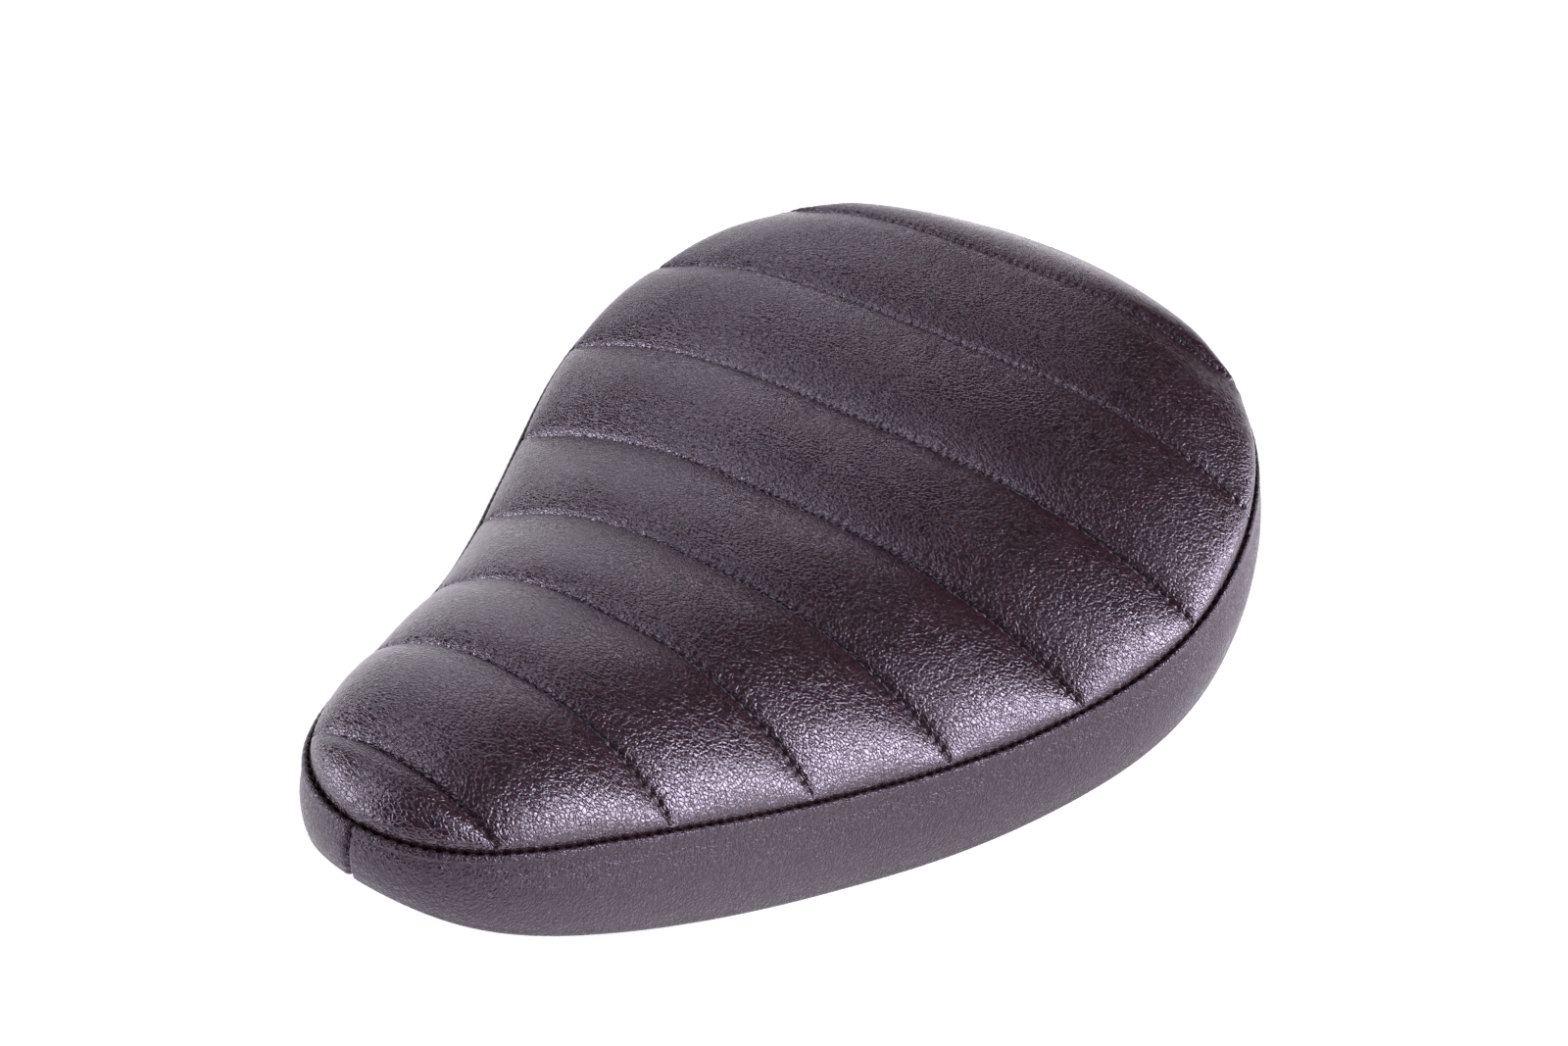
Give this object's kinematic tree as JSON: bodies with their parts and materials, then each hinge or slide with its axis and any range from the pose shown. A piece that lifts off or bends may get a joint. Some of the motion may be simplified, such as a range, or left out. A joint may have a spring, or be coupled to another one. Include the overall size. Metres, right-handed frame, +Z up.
{
  "type": "motorcycle seat",
  "caption": "Pear-shaped solo motorcycle seat: pleated leather top in cross channels, plain side bands, steel pan, nose pivot bracket and rear studs.",
  "frame": {"origin": "centre of the bounding box's floor: the seat lies on the lower edges of its side bands and the ends of its rear studs, as it would on a bench", "axes": "+Y towards the tail along the longest extent, nose towards -Y, +X the rider's left, +Z up, symmetric about X = 0"},
  "size_m": [0.241, 0.3318, 0.0938],
  "materials": {
    "leather_top": "satin, pebbled grain, dark aubergine brown",
    "leather_band": "satin, fine grain, dark aubergine brown",
    "foam": "matte open-cell foam",
    "scrim": "matte woven cloth",
    "pan_black": "satin black powder coat",
    "zinc": "bright zinc plate",
    "rubber_pad": "matte",
    "nylon": "natural nylon",
    "bronze": "sintered bronze"
  },
  "bodies": {
    "seat": {"channel_pad_1": "foam", "channel_pad_2": "foam", "channel_pad_3": "foam", "channel_pad_4": "foam", "channel_pad_5": "foam", "channel_pad_6": "foam", "channel_pad_7": "foam", "channel_pad_8": "foam", "channel_pad_9": "foam", "foam_core": "foam", "hem_rivet_left_1": "zinc", "hem_rivet_left_2": "zinc", "hem_rivet_left_3": "zinc", "hem_rivet_left_4": "zinc", "hem_rivet_left_5": "zinc", "hem_rivet_left_6": "zinc", "hem_rivet_left_7": "zinc", "hem_rivet_right_1": "zinc", "hem_rivet_right_2": "zinc", "hem_rivet_right_3": "zinc", "hem_rivet_right_4": "zinc", "hem_rivet_right_5": "zinc", "hem_rivet_right_6": "zinc", "hem_rivet_right_7": "zinc", "nose_bolt_front": "zinc", "nose_bolt_rear": "zinc", "nose_bracket": "pan_black", "nose_nut_front": "zinc", "nose_nut_rear": "zinc", "nose_rubber_pad": "rubber_pad", "nose_washer_front": "zinc", "nose_washer_rear": "zinc", "pivot_bolt": "zinc", "pivot_bush": "bronze", "pivot_lock_nut": "zinc", "pivot_washer_left": "nylon", "pivot_washer_right": "nylon", "rear_jam_nut_left": "zinc", "rear_jam_nut_right": "zinc", "rear_nut_left": "zinc", "rear_nut_right": "zinc", "rear_plate_left": "pan_black", "rear_plate_right": "pan_black", "rear_stud_left": "zinc", "rear_stud_right": "zinc", "rear_washer_left": "zinc", "rear_washer_right": "zinc", "scrim": "scrim", "seat_pan": "pan_black", "side_band_left": "leather_band", "side_band_right": "leather_band", "top_cover": "leather_top"},
    "frame_bracket": {"frame_bracket": "pan_black"}
  },
  "joints": [
    {"name": "nose_pivot", "type": "hinge", "parent": "seat", "child": "frame_bracket", "pos_m": [0, -0.10333, 0.02487], "axis": [-1, 0, 0], "range_deg": [-18, 45]}
  ]
}
